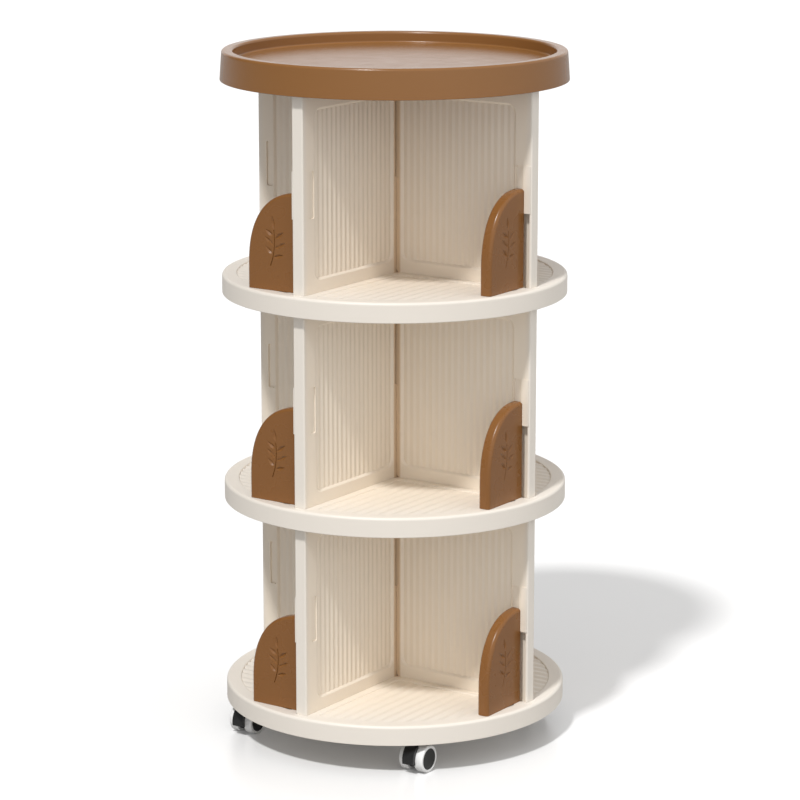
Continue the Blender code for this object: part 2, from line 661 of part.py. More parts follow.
def castor_hood():
    """Body between the two wheels: stem housing in front, fender behind and a round flange on top."""
    reach = WHEEL_RADIUS + FENDER_REACH
    crown = HOOD_TOP - OVERLAP
    rise = min(reach, crown - WHEEL_RADIUS)
    start = atan2(rise, sqrt(reach ** 2 - rise ** 2))
    back = -TRAIL - reach
    outline = [(HOOD_FRONT, crown)]
    outline += [(y - TRAIL, z + WHEEL_RADIUS) for y, z in arc(reach, pi - start, start, HOOD_STEPS)]
    outline += [(back, HOOD_FOOT + HOOD_CHAMFER), (back + HOOD_CHAMFER, HOOD_FOOT),
                (HOOD_FRONT - TRAIL, HOOD_FOOT), (HOOD_FRONT, HOOD_TOP - STEM_LENGTH - STEM_RADIUS)]
    half = WHEEL_SPACE / 2 - RUN_GAP
    hood = sideways(prism("hood", outline, -half, half))
    centre = [(0.0, 0.0)]
    flange = cylinders("flange", centre, FLANGE_RADIUS, HOOD_TOP - HOOD_FLANGE, HOOD_TOP, BOSS_STEPS)
    combine(hood, flange, "UNION")
    bore_low = HOOD_TOP - STEM_LENGTH - GAP
    bore = cylinders("stem_bore", centre, STEM_RADIUS + GAP, bore_low, HOOD_TOP + CUT_PAST, PIN_STEPS)
    combine(hood, bore, "DIFFERENCE")
    axle = [(-TRAIL, WHEEL_RADIUS)]
    bore = cylinders("axle_bore", axle, AXLE_RADIUS + GAP, -WHEEL_SPACE, WHEEL_SPACE, PIN_STEPS)
    return combine(hood, sideways(bore), "DIFFERENCE")


def castor_wheel():
    """Hub and tyre of one wheel about the axle, the outer face toward +X; flats touch the floor."""
    facet = 1 / cos(pi / WHEEL_STEPS)
    inside = WHEEL_SPACE / 2
    outside = inside + WHEEL_WIDTH
    inner = (WHEEL_RADIUS - TYRE_DEPTH) * facet
    outer = WHEEL_RADIUS * facet
    rim = inner - GAP * facet
    bore = (AXLE_RADIUS + GAP) * facet
    bore_end = outside - AXLE_COVER
    hub = [(0.0, outside - HUB_DISH), (rim, outside - GAP), (rim, inside), (bore, inside), (bore, bore_end),
           (0.0, bore_end)]
    tyre = [(inner, outside), (outer, outside), (outer, inside), (inner, inside)]
    shapes = [turned("hub", hub, WHEEL_STEPS, True), turned("tyre", tyre, WHEEL_STEPS, True)]
    for shape in shapes:
        shape.data.transform(Matrix.Rotation(pi / 2, 4, "Y"))
    return shapes


def castors(steel, hood_material, hub_material, tyre_material):
    """Four twin-wheel swivel castors, all trailing toward the front."""
    stem = castor_stem()
    hood = castor_hood()
    hub, tyre = castor_wheel()
    half = WHEEL_SPACE / 2 + WHEEL_WIDTH - AXLE_COVER - GAP
    axle = sideways(cylinders("axle", [(0.0, 0.0)], AXLE_RADIUS, -half, half, PIN_STEPS))
    for place, (x, y) in castor_places().items():
        name = place + "_castor_"
        swivel = pivot(name + "swivel", (x, y, 0.0))
        repeat(name + "stem", stem, steel, None, (x, y, 0.0))
        repeat(name + "hood", hood, hood_material, swivel, (0, 0, 0))
        axis = pivot(name + "axis", (0.0, -TRAIL, WHEEL_RADIUS), swivel)
        repeat(name + "axle", axle, steel, axis, (0, 0, 0))
        for side, turn in (("right", 0.0), ("left", pi)):
            repeat(name + side + "_wheel", hub, hub_material, axis, (0, 0, 0), turn)
            repeat(name + side + "_tyre", tyre, tyre_material, axis, (0, 0, 0), turn)
    for pattern in (stem, hood, hub, tyre, axle):
        bpy.data.objects.remove(pattern)


def main():
    """Build the whole bookcase."""
    clear_scene()
    cream = plain_material("cream_plastic", (0.79, 0.70, 0.57), 0.5)
    cover_brown = plain_material("brown_gloss_plastic", (0.235, 0.11, 0.042), 0.3)
    stop_brown = plain_material("brown_plastic", (0.225, 0.105, 0.04), 0.45)
    black = plain_material("black_plastic", (0.013, 0.013, 0.014), 0.4)
    grey = plain_material("grey_plastic", (0.05, 0.05, 0.052), 0.45)
    pale = plain_material("pale_tyre", (0.6, 0.58, 0.55), 0.6)
    base_cream = plain_material("base_plastic", (0.72, 0.64, 0.52), 0.55)
    steel = plain_material("steel", (0.55, 0.55, 0.56), 0.35, 1.0)
    carousel = pivot("carousel", (0.0, 0.0, 0.0))
    upper_trays(cream, carousel)
    base_tray(cream, carousel)
    top_cover(cover_brown, carousel)
    dividers(cream, carousel)
    stops(stop_brown, carousel)
    castor_base(base_cream)
    turntable(steel, base_cream, carousel)
    pivot_fixing(steel, carousel)
    castors(steel, black, grey, pale)


main()
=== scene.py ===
"""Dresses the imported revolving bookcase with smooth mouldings, finishes and a plain studio.

It is laid out as an add-on: sizes, colours and studio settings are properties, and one operator makes
each group of like pieces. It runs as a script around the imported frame, in metres, +Z up.
"""

import json
from math import atan2, cos, pi, radians, sin, sqrt, tan

import bmesh
import bpy
from bpy.props import FloatProperty, FloatVectorProperty, IntProperty, PointerProperty
from mathutils import Matrix, Vector


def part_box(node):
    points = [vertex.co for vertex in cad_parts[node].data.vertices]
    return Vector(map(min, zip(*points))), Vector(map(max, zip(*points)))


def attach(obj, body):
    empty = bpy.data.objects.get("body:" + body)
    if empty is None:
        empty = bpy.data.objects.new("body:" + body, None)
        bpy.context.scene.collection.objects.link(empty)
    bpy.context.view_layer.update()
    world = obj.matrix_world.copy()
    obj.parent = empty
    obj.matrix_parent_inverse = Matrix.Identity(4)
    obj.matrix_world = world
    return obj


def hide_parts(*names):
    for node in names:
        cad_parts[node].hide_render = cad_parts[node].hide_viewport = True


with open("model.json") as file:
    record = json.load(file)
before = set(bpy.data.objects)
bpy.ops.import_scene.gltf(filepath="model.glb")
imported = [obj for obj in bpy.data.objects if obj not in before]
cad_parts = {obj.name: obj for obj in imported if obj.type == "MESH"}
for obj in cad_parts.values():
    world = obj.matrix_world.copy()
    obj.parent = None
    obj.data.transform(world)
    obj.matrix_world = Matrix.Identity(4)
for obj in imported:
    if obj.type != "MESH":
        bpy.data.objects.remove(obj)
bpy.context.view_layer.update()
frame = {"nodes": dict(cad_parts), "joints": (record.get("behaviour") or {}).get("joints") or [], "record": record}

bl_info = {
    "name": "Revolving bookcase",
    "version": (1, 0, 0),
    "blender": (4, 5, 0),
    "location": "View3D > Sidebar > Bookcase",
    "description": "Smooth mouldings, finishes and a studio for the packed revolving bookcase",
    "category": "Object",
}

TIERS = ("base", "middle", "upper")
SIDES = {"right": 0.0, "back": pi / 2, "left": pi, "front": -pi / 2}
CASTORS = ("front_right", "back_right", "back_left", "front_left")
SLOTS = {row["node"]: row["material_slot"] for row in frame["record"]["subparts"]}
JOINT_PLACES = {joint["name"]: Vector(joint["pos_m"]) for joint in frame["joints"]}
TRAY_LOW, TRAY_TOP = ({tier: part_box(tier + "_tray")[end].z for tier in TIERS} for end in (0, 1))
TRAY_HEIGHT = TRAY_TOP["middle"] - TRAY_LOW["middle"]
COVER_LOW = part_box("top_cover")[0].z
COVER_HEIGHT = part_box("top_cover")[1].z - COVER_LOW
BOARD_FOOT, BOARD_HEAD = (corner.z - TRAY_TOP["upper"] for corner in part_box("upper_crosswise_divider"))
TIER_CLEAR = TRAY_LOW["upper"] - TRAY_TOP["middle"]

# Play between pieces, overlap of joined forms, reach of a cutter past a surface, weld distance
GAP = 0.0003
OVERLAP = 0.0004
PAST = 0.002
WELD = 1e-6
ROUND_STEPS = 160
WHEEL_STEPS = 56
BORE_STEPS = 24
SHARP_FROM = radians(33)
UP = Vector((0, 0, 1))
FLOOR_HALF = 40.0
KEY_DISTANCE = 5.0
QUARTERS = [quarter * pi / 2 for quarter in range(4)]

# Noise scales per metre: flow marks, patches of gloss, specks and grain
FLOW, PATCHES, SPECKS, GRAIN = 7.0, 38.0, 420.0, 1500.0
GLOSS_SPREAD = 0.10
# Radii between which a cream takes painted warm shade inward and, in the lower tiers, painted bounce light that
# makes it paler
PAINTED_SHADE_AND_LIGHT_SPANS = {"cream_plastic": (0.20, 0.08), "cream_board": (0.2135, 0.204)}
# Radii of the painted darker shade in the corner where the dividers cross
CORNER_SHADE_SPAN = (0.0175, 0.0152)
# Colour, roughness, mottle, grain and specular level of the other plastics
PLASTICS = {
    "brown_gloss_plastic": ("cover_brown", 0.24, 0.04, 0.03, 0.44),
    "brown_plastic": ("stop_brown", 0.28, 0.05, 0.04, 0.38),
    "black_plastic": ("black", 0.34, 0.12),
    "grey_plastic": ("grey", 0.40, 0.10, 0.10),
    "pale_tyre": ("tyre", 0.34, 0.04),
    "base_plastic": ("base", 0.55, 0.04, 0.12),
}
# Places of a sprig's leaves along its stem, their leans and lengths
LEAVES = ((0.50, 0.0, 0.017), (0.30, 0.95, 0.0165), (0.24, -0.95, 0.0165), (0.05, 1.0, 0.018),
          (-0.01, -1.0, 0.018), (-0.20, 1.05, 0.0155), (-0.26, -1.05, 0.0155))


def number(description, default, least=0.0, **more):
    """A plain number that a user may change."""
    return FloatProperty(description=description, default=default, min=least, **more)


def length(description, default):
    """A size in metres that a user may change."""
    return number(description, default, precision=5, unit="LENGTH")


def bearing(description, degrees):
    """An angle that a user may change, given here in degrees."""
    return FloatProperty(description=description, default=radians(degrees), subtype="ANGLE", unit="ROTATION")


def colour(description, default):
    """A linear colour that a user may change."""
    return FloatVectorProperty(description=description, default=default, size=3, min=0.0, max=1.0, subtype="COLOR")


def labelled(group):
    """Name each property of a group by the words of its identifier."""
    for identifier, setting in group.__annotations__.items():
        setting.keywords["name"] = identifier.replace("_", " ").capitalize()
    return group


@labelled
class BookcaseSizes(bpy.types.PropertyGroup):
    """Sizes of the mouldings."""

    edge_round: length("Radius of the lesser edges", 0.0008)
    tray_radius: length("Outer radius of the trays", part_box("middle_tray")[1].x)
    tray_deck: length("Thickness of a tray's deck", 0.004)
    tray_wall: length("Thickness of a tray's skirt", 0.0032)
    rim_round: length("Radius of a tray's upper edge", 0.004)
    foot_round: length("Radius of a skirt's lower edges", 0.0009)
    rim_border: length("Width of a tray's smooth border", 0.018)
    field_sink: length("Depth of a tray's quarter fields", 0.0022)
    field_margin: length("From a divider to the field beside it", 0.0086)
    field_corner: length("Corner radius of a field", 0.010)
    wave_pitch: length("Spacing of the waves in a field", 0.015)
    wave_height: length("Height of the waves", 0.0013)
    web: length("Thickness of the webs under a deck", 0.0025)
    web_drop: length("Height of the diagonal webs' lower edge", 0.009)
    pivot_radius: length("Radius of the boss under the base tray", 0.013)
    pivot_roof: length("Thickness over the pivot's screw hole", 0.0025)
    screw_hole: length("Radius of the screw's hole", 0.0023)
    spoke_lift: length("From the castor base to the spokes", 0.002)
    web_inset: length("From a channel's end to its cross web", 0.06429)
    seat_depth: length("Depth of the crossed seat in a tray", 0.002)
    socket_depth: length("Depth of a divider's head in its socket", 0.004)
    board_thick: length("Thickness of a divider board", 0.0168)
    board_end: length("From the axis to a divider's end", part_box("upper_crosswise_divider")[1].x)
    board_round: length("Radius of a divider's upright edges", 0.002)
    pocket_outer: length("From a divider's end to a fluted pocket", 0.024)
    pocket_inner: length("From the crossing board to a pocket", 0.0056)
    pocket_edge: length("Border over and under a pocket", 0.015)
    pocket_corner: length("Corner radius of a pocket", 0.013)
    pocket_sink: length("Depth of a pocket", 0.0030)
    pocket_slope: length("Width of the slope in a pocket", 0.0045)
    flutes: IntProperty(description="Number of ridges in a pocket", default=17, min=3)
    flute_height: length("Height of a ridge", 0.0009)
    lap_gap: length("Play beside the board in the open slit", 0.0026)
    lead_in: length("Flare at the foot of the lower slit", 0.003)
    lead_in_height: length("Height of that flare", 0.0055)
    slot_width: length("Width of the slot near a divider's end", 0.0115)
    slot_height: length("Height of a slot", 0.0605)
    slot_round: length("Corner radius of a slot", 0.0025)
    slot_depth: length("Depth of a slot", 0.0022)
    tab_depth: length("Depth of a stop's tab in the divider", 0.008)
    tab_drop: length("From a stop's top to its tab", 0.006)
    rebate_width: length("Width of the rebate in front of a stop", 0.0080)
    rebate_depth: length("Depth of a rebate", 0.0086)
    pad_raise: length("Height of the pad beside a stop", 0.0010)
    pad_edge: length("From a divider's end to a pad", 0.001)
    stop_width: length("Width of a stop", 0.078)
    stop_height: length("Height of a stop", 0.126)
    stop_thick: length("Thickness of a stop", 0.016)
    stop_straight: length("Height of a stop's upright edge", 0.030)
    stop_inset: length("From a divider's end to a stop's front", 0.0108)
    stop_round: length("Radius of a stop's soft edges", 0.0046)
    stop_fullness: number("Exponent of a stop's arch; 2 is an ellipse", 2.3, 1.5, max=4.0)
    sprig_depth: length("Depth of the sprig cut into a stop", 0.0019)
    cover_draft: length("How far the cover's side leans in", 0.0028)
    cover_rim: length("Width of the cover's raised rim", 0.0145)
    cover_recess: length("Depth of the cover's recess", 0.0148)
    cover_deck: length("Thickness of the cover's deck", 0.0035)
    cover_wall: length("Thickness of the cover's side", 0.003)
    cover_round: length("Radius of the cover's upper edges", 0.0035)
    cover_fillet: length("Radius round the recess's floor", 0.0025)
    wheel_radius: length("Radius of a castor's wheel", 0.018)
    wheel_width: length("Width of one wheel", 0.0123)
    wheel_space: length("Space between a castor's wheels", 0.0114)
    tyre_depth: length("From the tread to the hub disc", 0.0039)
    tyre_round: length("Radius of a tyre's shoulders", 0.0021)
    hub_dish: length("Depth of the hub disc's dish", 0.0009)
    axle_radius: length("Radius of a wheel axle", 0.002)
    fender_reach: length("How far a hood stands past the treads", 0.0055)
    guard_lap: length("How far a hood's guard laps each wheel", 0.0031)
    guard_gap: length("From the treads to the guard", 0.0009)
    hood_foot: length("Height of the hood's lower edge", 0.009)
    hood_front: length("From a stem's axis to the hood's front", 0.007)
    hood_heel: length("Radius of the hood's rear lower corner", 0.0024)
    flange_radius: length("Radius of a hood's flange", 0.009)
    flange_thick: length("Thickness of a hood's flange", 0.0029)
    hood_round: length("Radius of the hood's edges", 0.0011)
    stem_radius: length("Radius of a castor's stem", 0.003)
    stem_length: length("Depth of the stem in the hood", 0.018)


@labelled
class BookcaseColours(bpy.types.PropertyGroup):
    """Colours of the finishes."""

    cream: colour("Trays and dividers, at their rims", (0.825, 0.765, 0.685))
    # Painted warm shade: the cream further inward, warmer where the shade of the compartments falls
    inner_cream: colour("Trays and dividers, further inward", (0.850, 0.755, 0.635))
    # Painted bounce light: a paler cream inward in the two lower tiers, where light thrown back from the cream
    # trays above falls
    lower_cream: colour("The same in the two lower tiers", (0.895, 0.800, 0.674))
    # Painted shade: a darker, warmer cream in the corner where the dividers cross
    corner_cream: colour("Dividers in the corner where they cross", (0.70, 0.53, 0.36))
    stop_brown: colour("Arched stops", (0.235, 0.098, 0.026))
    cover_brown: colour("Top cover", (0.262, 0.116, 0.034))
    black: colour("Castor hoods", (0.012, 0.012, 0.012))
    grey: colour("Wheel discs", (0.022, 0.022, 0.020))
    tyre: colour("Tyres", (0.93, 0.925, 0.91))
    base: colour("Castor base and ball ring", (0.76, 0.68, 0.57))
    steel: colour("Stems, axles and turntable", (0.56, 0.56, 0.57))
    floor: colour("Studio floor", (0.95, 0.945, 0.94))


@labelled
class BookcaseStudio(bpy.types.PropertyGroup):
    """Light and camera."""

    key_azimuth: bearing("Bearing of the key light", 8.0)
    key_elevation: bearing("How high the key light stands", 56.0)
    key_spread: bearing("Apparent size of the key light", 5.0)
    key_strength: number("Strength of the key light", 2.18)
    fill_strength: number("Mean strength of the soft light", 0.55)
    fill_lean: number("Lean of the soft light to its bright side", 0.95, max=1.0)
    fill_azimuth: bearing("Bearing of the bright side", 90.0)
    floor_bounce: number("How pale the floor is to bounced light", 0.5, max=1.0)
    floor_glow: number("White added to the floor for the camera", 0.075)
    camera_distance: length("From the axis to the camera, level", 4.04421)
    camera_height: length("Height of the camera", 1.35521)
    camera_azimuth: bearing("Bearing of the camera", 34.384)
    camera_pitch: bearing("How far the camera looks down", 12.715)
    camera_turn: bearing("How far the camera looks right", 0.096)
    camera_lens: number("Focal length on a 36 mm sensor", 141.742, 1.0, subtype="DISTANCE_CAMERA")


class Value:
    """A shader socket; Python's operators on it add Math nodes."""

    def __init__(self, nodes, socket):
        self.nodes = nodes
        self.socket = socket

    def math(self, operation, first, second):
        """One Math node on two values."""
        return self.nodes.add("Math", {0: first, 1: second}, operation=operation)

    def __add__(self, other):
        return self.math("ADD", self, other)

    def __sub__(self, other):
        return self.math("SUBTRACT", self, other)

    def __rsub__(self, other):
        return self.math("SUBTRACT", other, self)

    def __mul__(self, other):
        return self.math("MULTIPLY", self, other)

    __radd__ = __add__
    __rmul__ = __mul__


class Nodes:
    """The emptied node tree of a material or the world."""

    def __init__(self, owner):
        owner.use_nodes = True
        self.tree = owner.node_tree
        self.tree.nodes.clear()

    def add(self, kind, inputs=None, output=0, **settings):
        """Add a shader node: its settings first, then the values or links of its sockets."""
        made = self.tree.nodes.new("ShaderNode" + kind)
        for name, value in settings.items():
            setattr(made, name, value)
        for key, value in (inputs or {}).items():
            if isinstance(value, Value):
                self.tree.links.new(value.socket, made.inputs[key])
            else:
                made.inputs[key].default_value = value
        return Value(self, made.outputs[output]) if made.outputs else None

    def noise(self, place, scale, detail=2.0):
        """Noise about one half, on a place in metres."""
        return self.add("TexNoise", {"Vector": place, "Scale": scale, "Detail": detail})

    def dot(self, way, axis):
        """How far a direction points along an axis."""
        return self.add("VectorMath", {0: way, 1: axis}, "Value", operation="DOT_PRODUCT")

    def inwardness(self, place, far, near):
        """Nought at the far radius from the turning axis, one at the near radius."""
        level = self.add("VectorMath", {0: place, 1: (1.0, 1.0, 0.0)}, operation="MULTIPLY")
        radius = self.add("VectorMath", {0: level}, "Value", operation="LENGTH")
        return self.add("Clamp", {"Value": (far - radius) * (1 / (far - near))})

    def below(self, place, top):
        """One under a height, nought over it."""
        return self.add("Math", {0: self.dot(place, UP), 1: top}, operation="LESS_THAN")

    def blend(self, share, first, second):
        """A mix of two colours."""
        return self.add("Mix", {0: share, 6: first, 7: second}, 2, data_type="RGBA")

    def mottled(self, share, tint, spread):
        """A colour that varies a little to either side."""
        return self.blend(share, shade(tint, 1.0 - spread), shade(tint, 1.0 + spread))

    def coat(self, relief, strength, depth, inputs):
        """Finish a material with a Principled surface that has a fine relief."""
        bump = self.add("Bump", {"Height": relief, "Strength": strength, "Distance": depth})
        surface = self.add("BsdfPrincipled", {**inputs, "Normal": bump})
        self.add("OutputMaterial", {"Surface": surface})


def shade(tint, factor):
    """A colour made darker or lighter, with an alpha."""
    return tuple(min(1.0, part * factor) for part in tint) + (1.0,)


def new_material(name):
    """A new material, its nodes and the place of a point in metres."""
    material = bpy.data.materials.new(name)
    nodes = Nodes(material)
    return material, nodes, nodes.add("TexCoord", output="Object")


def moulded_plastic(name, tint, roughness, mottle, grain=0.06, specular=0.5, inner=()):
    """Moulded plastic: faint flow marks, patchy gloss, a fine grain and any inward tints of painted shade and
    painted light.
    """
    material, nodes, place = new_material(name)
    share = nodes.noise(place, FLOW, 3.0) * 0.8 + nodes.noise(place, SPECKS) * 0.2
    base = nodes.mottled(share, tint, mottle)
    # Each inner tint is painted light, laid on inward and under a height: warm shade, bounce light in the lower
    # tiers, corner shade
    for other, (far, near), top in inner:
        painted_light_mask = nodes.inwardness(place, far, near) * nodes.below(place, top)
        base = nodes.blend(painted_light_mask, base, nodes.mottled(share, other, mottle))
    gloss = nodes.noise(place, PATCHES) * GLOSS_SPREAD + (roughness - GLOSS_SPREAD / 2)
    nodes.coat(nodes.noise(place, GRAIN), grain, 0.0004, {
        "Base Color": base, "Roughness": gloss, "Specular IOR Level": specular})
    return material


def cream_plastic(name, tints, span):
    """The trays' and dividers' cream with painted light: painted warm shade inward, painted darker shade in the
    crossing corners and painted bounce light that makes it paler in the lower tiers.
    """
    over, split = COVER_LOW + COVER_HEIGHT, (TRAY_LOW["upper"] + TRAY_TOP["upper"]) / 2
    return moulded_plastic(name, tints.cream, 0.46, 0.022, inner=(
        (tints.inner_cream, span, over), (tints.lower_cream, span, split), (tints.corner_cream, CORNER_SHADE_SPAN, over)))


def plated_steel(name, tint):
    """Zinc-plated steel with turning marks and a clouded gloss."""
    material, nodes, place = new_material(name)
    stretched = nodes.add("Mapping", {"Vector": place, "Scale": (1.0, 1.0, 24.0)})
    marks, cloud = nodes.noise(stretched, 90.0, 3.0), nodes.noise(place, 60.0)
    base = nodes.blend(cloud, shade(tint, 0.86), shade(tint, 1.1))
    nodes.coat(marks, 0.12, 0.0003, {"Base Color": base, "Roughness": cloud * 0.2 + 0.24, "Metallic": 1.0})
    return material


def finish(look):
    """The material of one of the record's slots or of the boards, made once."""
    name = "bookcase_" + look
    tints = bpy.context.scene.bookcase_colours
    if name in bpy.data.materials:
        return bpy.data.materials[name]
    if look in PAINTED_SHADE_AND_LIGHT_SPANS:
        return cream_plastic(name, tints, PAINTED_SHADE_AND_LIGHT_SPANS[look])
    if look in PLASTICS:
        tint, *surface = PLASTICS[look]
        return moulded_plastic(name, getattr(tints, tint), *surface)
    return plated_steel(name, tints.steel)


def arc(centre, radius, start, end, steps):
    """Points along an arc, without its last one."""
    angles = [start + (end - start) * step / steps for step in range(steps)]
    return [(centre[0] + radius * cos(angle), centre[1] + radius * sin(angle)) for angle in angles]


def filleted(corners, steps):
    """Points of a closed outline from (x, y) corners; a third number is a corner's radius."""
    points = []
    for index, (x, y, *rounding) in enumerate(corners):
        here, radius = Vector((x, y)), sum(rounding)
        if radius == 0.0:
            points.append(here)
            continue
        to_last = (Vector(corners[index - 1][:2]) - here).normalized()
        to_next = (Vector(corners[(index + 1) % len(corners)][:2]) - here).normalized()
        half = to_last.angle(to_next) / 2
        centre = here + (to_last + to_next).normalized() * (radius / sin(half))
        first = here + to_last * (radius / tan(half)) - centre
        last = here + to_next * (radius / tan(half)) - centre
        clockwise = first.angle_signed(last)
        points += [centre + Matrix.Rotation(-clockwise * step / steps, 2) @ first for step in range(steps + 1)]
    return [tuple(point) for point in points]


def rectangle(x_low, x_high, y_low, y_high, radius=0.0, steps=4):
    """A rectangle's outline, with rounded corners if asked."""
    corners = [(x_low, y_low, radius), (x_high, y_low, radius), (x_high, y_high, radius), (x_low, y_high, radius)]
    return filleted(corners, steps)


def turned_outline(outline, angle):
    """The points of an outline turned about the origin."""
    turn = Matrix.Rotation(angle, 2)
    return [tuple(turn @ Vector(point)) for point in outline]


def all_round(outline):
    """An outline at each quarter turn about the origin."""
    return [turned_outline(outline, quarter) for quarter in QUARTERS]


def plus_outline(reach, half):
    """A plus sign with arms of the given reach and half width."""
    return sum(all_round([(half, half), (half, reach), (-half, reach)]), [])


def swells(start, pitch, count, base, height, steps):
    """Points of soft waves from a base line, valley to valley."""
    return [(start + pitch * step / steps, base + height * ((1 - cos(2 * pi * step / steps)) / 2))
            for step in range(count * steps + 1)]


def about_z(angle):
    """A turn about the upright axis."""
    return Matrix.Rotation(angle, 4, "Z")


def moved(x=0.0, y=0.0, z=0.0):
    """A shift in metres."""
    return Matrix.Translation((x, y, z))


def heading(azimuth, elevation=0.0):
    """The direction of a bearing round the turning axis."""
    level = cos(elevation)
    return Vector((sin(azimuth) * level, -cos(azimuth) * level, sin(elevation)))


def linked(name, data):
    """A new object in the scene."""
    made = bpy.data.objects.new(name, data)
    bpy.context.scene.collection.objects.link(made)
    return made


def to_object(name, bm):
    """Link a bmesh as a loose object with outward normals."""
    bmesh.ops.remove_doubles(bm, verts=bm.verts, dist=WELD)
    bmesh.ops.recalc_face_normals(bm, faces=bm.faces)
    mesh = bpy.data.meshes.new(name)
    bm.to_mesh(mesh)
    bm.free()
    return linked(name, mesh)


def turned(name, corners, fine, steps):
    """Spin rounded (radius, height) corners about Z; ends on the axis close the body."""
    profile = filleted(corners, fine)
    bm = bmesh.new()
    points = [bm.verts.new((radius, 0.0, height)) for radius, height in profile]
    edges = [bm.edges.new(pair) for pair in zip(points, points[1:])]
    if profile[0][0] > 0.0:
        edges.append(bm.edges.new((points[-1], points[0])))
    bmesh.ops.spin(bm, geom=points + edges, axis=UP, cent=(0, 0, 0), angle=2 * pi, steps=steps, use_merge=True)
    bmesh.ops.remove_doubles(bm, verts=bm.verts, dist=WELD)
    bmesh.ops.dissolve_degenerate(bm, edges=bm.edges, dist=WELD)
    return to_object(name, bm)


def raise_outline(bm, outline, low, high):
    """Extrude a flat outline between two heights and return its lower face."""
    face = bm.faces.new([bm.verts.new((x, y, low)) for x, y in outline])
    raised = bmesh.ops.extrude_face_region(bm, geom=[face])["geom"]
    tops = [part for part in raised if isinstance(part, bmesh.types.BMVert)]
    bmesh.ops.translate(bm, verts=tops, vec=(0, 0, high - low))
    return face


def prism(name, outlines, low, high):
    """One or more outlines extruded between two heights, as an object."""
    bm = bmesh.new()
    for outline in outlines:
        raise_outline(bm, outline, low, high)
    return to_object(name, bm)


def sunk_cutter(name, outline, surface, lip):
    """A cutter that stands on a surface and narrows into it by (inward, down) steps."""
    bm = bmesh.new()
    floor = raise_outline(bm, outline, surface, surface + PAST)
    bmesh.ops.recalc_face_normals(bm, faces=bm.faces)
    for inward, down in lip:
        bmesh.ops.inset_region(bm, faces=[floor], thickness=inward, depth=down, use_even_offset=True)
    return to_object(name, bm)


def combine(target, tool, operation):
    """Apply one Boolean to the target's mesh and drop the tool."""
    modifier = target.modifiers.new("Combine", "BOOLEAN")
    modifier.operation = operation
    modifier.solver = "EXACT"
    modifier.object = tool
    graph = bpy.context.evaluated_depsgraph_get()
    mesh = bpy.data.meshes.new_from_object(target.evaluated_get(graph))
    target.modifiers.clear()
    target.data = mesh
    bpy.data.objects.remove(tool)


def cut(target, tool):
    """Take the tool's form out of the target."""
    combine(target, tool, "DIFFERENCE")


def join(target, tool):
    """Add the tool's form to the target."""
    combine(target, tool, "UNION")


def copies(made, places):
    """Join moved copies of an object's mesh into that object."""
    bm = bmesh.new()
    for place in places:
        moved = made.data.copy()
        moved.transform(place)
        bm.from_mesh(moved)
        bpy.data.meshes.remove(moved)
    bm.to_mesh(made.data)
    bm.free()
    return made


def stood_up(made, outward):
    """Turn a piece drawn flat (x along the board, y up) to stand with its top face toward -Y."""
    made.data.transform(moved(y=-outward) @ Matrix.Rotation(pi / 2, 4, "X"))
    return made


def sideways(made):
    """Turn a piece drawn as (y, z, x) to its place as (x, y, z)."""
    made.data.transform(Matrix(((0, 0, 1, 0), (1, 0, 0, 0), (0, 1, 0, 0), (0, 0, 0, 1))))
    return made


def joined_flats(made):
    """Join the flat facets that the Booleans leave side by side."""
    bm = bmesh.new()
    bm.from_mesh(made.data)
    bmesh.ops.remove_doubles(bm, verts=bm.verts, dist=2 * WELD)
    bmesh.ops.dissolve_limit(bm, angle_limit=radians(0.02), verts=bm.verts, edges=bm.edges)
    bm.to_mesh(made.data)
    bm.free()
    return made


def place_piece(node, kind, pattern, place, body="carousel", look=None):
    """Stand a copy of a pattern's mesh in for a CAD node, with its place in the mesh."""
    name = node + "_" + kind
    mesh = pattern.data.copy()
    mesh.name = name
    mesh.transform(place)
    mesh.shade_smooth()
    mesh.set_sharp_from_angle(angle=SHARP_FROM)
    mesh.materials.clear()
    mesh.materials.append(finish(look or SLOTS[node]))
    made = linked(name, mesh)
    even = made.modifiers.new("Even shading", "WEIGHTED_NORMAL")
    even.keep_sharp = True
    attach(made, body)
    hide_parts(node)


def field_outline(size):
    """Outline of a tray's quarter field in the quarter between +X and +Y."""
    start = size.board_thick / 2 + size.field_margin
    outer = size.tray_radius - size.rim_border
    corner = size.field_corner
    along = sqrt((outer - corner) ** 2 - (start + corner) ** 2)
    lean = atan2(start + corner, along)
    rim_steps, steps = 44, 6
    points = arc((along, start + corner), corner, -pi / 2, lean, steps)
    points += arc((0.0, 0.0), outer, lean, pi / 2 - lean, rim_steps)
    points += arc((start + corner, along), corner, pi / 2 - lean, pi, steps)
    return points + arc((start + corner, start + corner), corner, pi, 1.5 * pi, steps)


def waved_fields(size):
    """Cutter for a tray's four quarter fields: soft lips and waved floors, turned from one to the next."""
    third = size.field_sink / 3
    lip = [(third * 1.2, third * 0.4), (third, third), (third * 0.6, third * 1.6)]
    field = sunk_cutter("field_cutter", field_outline(size), TRAY_HEIGHT, lip)
    start = size.board_thick / 2 + size.field_margin
    outer = size.tray_radius - size.rim_border
    floor = TRAY_HEIGHT - size.field_sink
    count = int((outer - start) / size.wave_pitch) + 1
    wave = swells(start, size.wave_pitch, count, floor, size.wave_height, 10)
    over = TRAY_HEIGHT + 2 * PAST
    wave += [(wave[-1][0], over), (start - PAST, over), (start - PAST, floor)]
    combine(field, sideways(prism("field_waves", [wave], 0.0, size.tray_radius)), "INTERSECT")
    return copies(field, [about_z(quarter) for quarter in QUARTERS])


